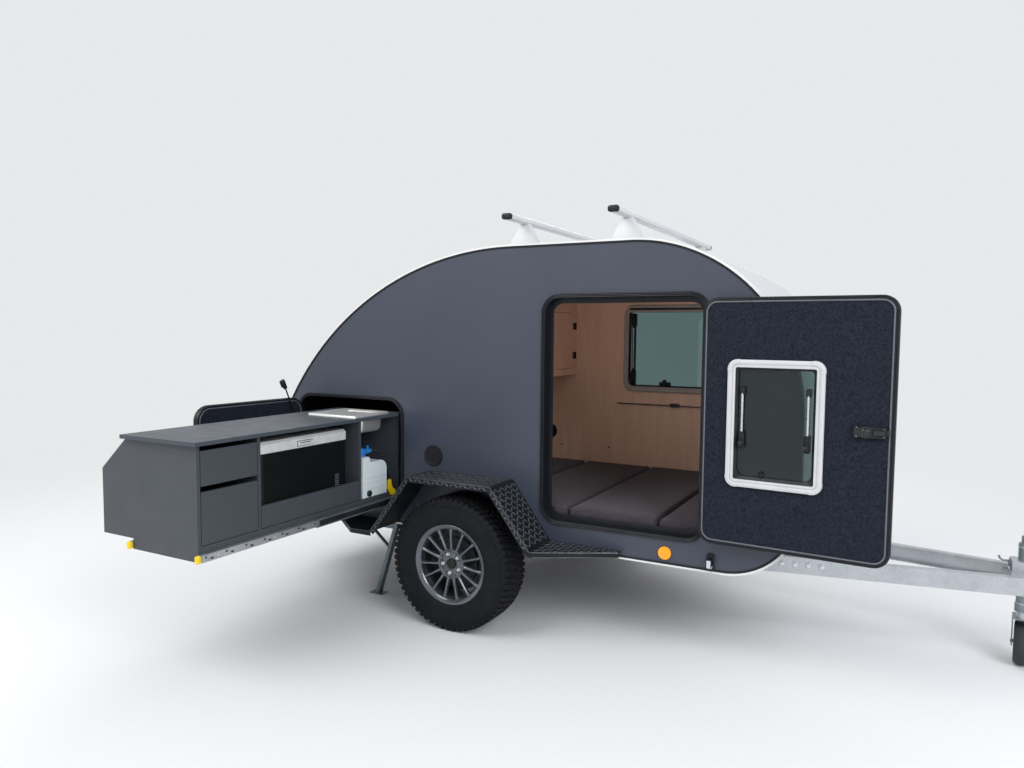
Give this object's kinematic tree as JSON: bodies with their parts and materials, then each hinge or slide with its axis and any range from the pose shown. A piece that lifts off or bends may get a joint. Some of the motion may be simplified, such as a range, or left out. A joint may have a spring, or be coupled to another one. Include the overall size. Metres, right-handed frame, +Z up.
{
  "type": "teardrop trailer",
  "caption": "Two-wheeled teardrop caravan with a curved body, side door, slide-out side kitchen, roof bars and drawbar.",
  "frame": {"origin": "centre of the ball socket in the coupling", "axes": "+X forward along the drawbar, +Y to the left, +Z up; the entry door and the kitchen are on the -Y side"},
  "size_m": [4.6373, 3.015, 2.0795],
  "materials": {
    "body_grey": "satin",
    "shell_white": "gloss",
    "floor_ply": "matt",
    "edge_white": "gloss",
    "door_grey": "satin",
    "frame_black": "matt",
    "hatch_felt": "felt",
    "birch_ply": "satin",
    "mattress_cover": "woven",
    "window_beige": "satin",
    "window_tint": "gloss",
    "latch_black": "matt",
    "lamp_black": "matt",
    "vent_plastic": "matt",
    "reflector_amber": "gloss",
    "bar_white": "gloss",
    "checker_black": "satin",
    "chassis_steel": "spangled",
    "coupling_steel": "satin",
    "axle_steel": "satin",
    "lamp_red": "gloss",
    "tyre": "matt",
    "rim": "satin",
    "galvanised": "spangled",
    "jockey_rubber": "matt",
    "kitchen_panel": "satin",
    "worktop_grey": "satin",
    "sink_steel": "brushed",
    "coolbox_black": "satin",
    "coolbox_lid_silver": "satin",
    "can_white": "satin",
    "hose_black": "satin"
  },
  "bodies": {
    "trailer": {"side_right": "body_grey", "side_left": "body_grey", "shell_front": "shell_white", "shell_roof": "shell_white", "shell_rear": "shell_white", "floor": "floor_ply", "edge_trims": "edge_white", "door_frame": "frame_black", "kitchen_frame": "frame_black", "hatch": "hatch_felt", "rear_furniture": "birch_ply", "overhead_cabinet": "birch_ply", "bed_base": "birch_ply", "mattress": "mattress_cover", "kitchen_lamp": "lamp_black", "door_catch": "lamp_black", "window_frame_left": "window_beige", "window_pane_left": "window_tint", "side_vents": "vent_plastic", "side_reflectors": "reflector_amber", "roof_bars": "bar_white", "mudguards": "checker_black", "chassis": "chassis_steel", "drawbar": "chassis_steel", "coupling": "coupling_steel", "axle": "axle_steel", "rear_lamps": "lamp_red", "steady_tracks": "galvanised", "rails_fixed": "galvanised"},
    "entry_door": {"door_panel": "door_grey", "door_edge": "frame_black", "door_window_frame": "edge_white", "door_window_pane": "window_tint", "door_latch": "latch_black"},
    "cabinet_door_right": {"cabinet_door_right": "birch_ply"},
    "cabinet_door_left": {"cabinet_door_left": "birch_ply"},
    "wheel_right": {"tyre_right": "tyre", "rim_right": "rim"},
    "wheel_left": {"tyre_left": "tyre", "rim_left": "rim"},
    "jockey_tube": {"jockey_outer_tube": "galvanised"},
    "jockey_spindle": {"jockey_inner_tube": "galvanised"},
    "jockey_fork": {"jockey_fork": "galvanised"},
    "jockey_wheel": {"jockey_wheel": "jockey_rubber"},
    "steady_leg_right": {"steady_leg_right": "galvanised"},
    "steady_leg_left": {"steady_leg_left": "galvanised"},
    "steady_brace_right": {"steady_brace_right": "galvanised"},
    "steady_brace_left": {"steady_brace_left": "galvanised"},
    "slide_middle": {"rails_middle": "galvanised"},
    "kitchen": {"rails_inner": "galvanised", "kitchen_carcass": "kitchen_panel", "worktop": "worktop_grey", "sink_unit": "sink_steel", "water_can": "can_white", "water_hose": "hose_black"},
    "drawer_lower": {"drawer_lower": "kitchen_panel"},
    "drawer_upper": {"drawer_upper": "kitchen_panel"},
    "coolbox": {"coolbox_tray": "kitchen_panel", "coolbox": "coolbox_black", "coolbox_lid": "coolbox_lid_silver"}
  },
  "joints": [
    {"name": "door_hinge", "type": "hinge", "parent": "trailer", "child": "entry_door", "pos_m": [-1.939, -0.743, 0.701], "axis": [0, 0, -1], "range_deg": [0, 176.7]},
    {"name": "wheel_right_spin", "type": "hinge", "parent": "trailer", "child": "wheel_right", "pos_m": [-3.14, -0.8495, -0.089], "axis": [0, 1, 0], "continuous": true},
    {"name": "wheel_left_spin", "type": "hinge", "parent": "trailer", "child": "wheel_left", "pos_m": [-3.14, 0.8495, -0.089], "axis": [0, 1, 0], "continuous": true},
    {"name": "jockey_clamp_slide", "type": "slide", "parent": "trailer", "child": "jockey_tube", "axis": [0, 0, 1], "range_m": [0, 0.13]},
    {"name": "jockey_spindle_slide", "type": "slide", "parent": "jockey_tube", "child": "jockey_spindle", "axis": [0, 0, -1], "range_m": [0, 0.15]},
    {"name": "jockey_swivel", "type": "hinge", "parent": "jockey_spindle", "child": "jockey_fork", "pos_m": [-0.64, 0, -0.21], "axis": [0, 0, 1], "continuous": true},
    {"name": "jockey_wheel_spin", "type": "hinge", "parent": "jockey_fork", "child": "jockey_wheel", "pos_m": [-0.63452, 0.04467, -0.33], "axis": [0.9925, -0.1219, 0], "continuous": true},
    {"name": "kitchen_slide", "type": "slide", "parent": "trailer", "child": "kitchen", "axis": [0, 1, 0], "range_m": [0, 1.37]},
    {"name": "kitchen_middle_slide", "type": "slide", "parent": "trailer", "child": "slide_middle", "axis": [0, 1, 0], "range_m": [0, 0.685]},
    {"name": "drawer_lower_slide", "type": "slide", "parent": "kitchen", "child": "drawer_lower", "axis": [-1, 0, 0], "range_m": [-0.38, 0]},
    {"name": "drawer_upper_slide", "type": "slide", "parent": "kitchen", "child": "drawer_upper", "axis": [-1, 0, 0], "range_m": [-0.38, 0]},
    {"name": "coolbox_slide", "type": "slide", "parent": "kitchen", "child": "coolbox", "axis": [-1, 0, 0], "range_m": [-0.4, 0]},
    {"name": "cabinet_door_right_hinge", "type": "hinge", "parent": "trailer", "child": "cabinet_door_right", "pos_m": [-3.16, -0.667, 1.026], "axis": [0, 0, 1], "range_deg": [-88, 0]},
    {"name": "steady_leg_right_fold", "type": "hinge", "parent": "trailer", "child": "steady_leg_right", "pos_m": [-3.67, -0.665, -0.025], "axis": [0, 1, 0], "range_deg": [0, 68]},
    {"name": "steady_brace_right_fold", "type": "hinge", "parent": "steady_leg_right", "child": "steady_brace_right", "pos_m": [-3.71279, -0.665, -0.1583], "axis": [0, 1, 0], "range_deg": [-105.61, 0]},
    {"name": "cabinet_door_left_hinge", "type": "hinge", "parent": "trailer", "child": "cabinet_door_left", "pos_m": [-3.16, 0.667, 1.026], "axis": [0, 0, -1], "range_deg": [-88, 0]},
    {"name": "steady_leg_left_fold", "type": "hinge", "parent": "trailer", "child": "steady_leg_left", "pos_m": [-3.67, 0.665, -0.025], "axis": [0, 1, 0], "range_deg": [0, 68]},
    {"name": "steady_brace_left_fold", "type": "hinge", "parent": "steady_leg_left", "child": "steady_brace_left", "pos_m": [-3.71279, 0.665, -0.1583], "axis": [0, 1, 0], "range_deg": [-105.61, 0]}
  ],
  "couplings": [
    {"joint": "kitchen_middle_slide", "follows": "kitchen_slide", "ratio": 0.5},
    {"joint": "steady_brace_right_fold", "follows": "steady_leg_right_fold", "ratio": -1.5457},
    {"joint": "steady_brace_left_fold", "follows": "steady_leg_left_fold", "ratio": -1.5457}
  ]
}
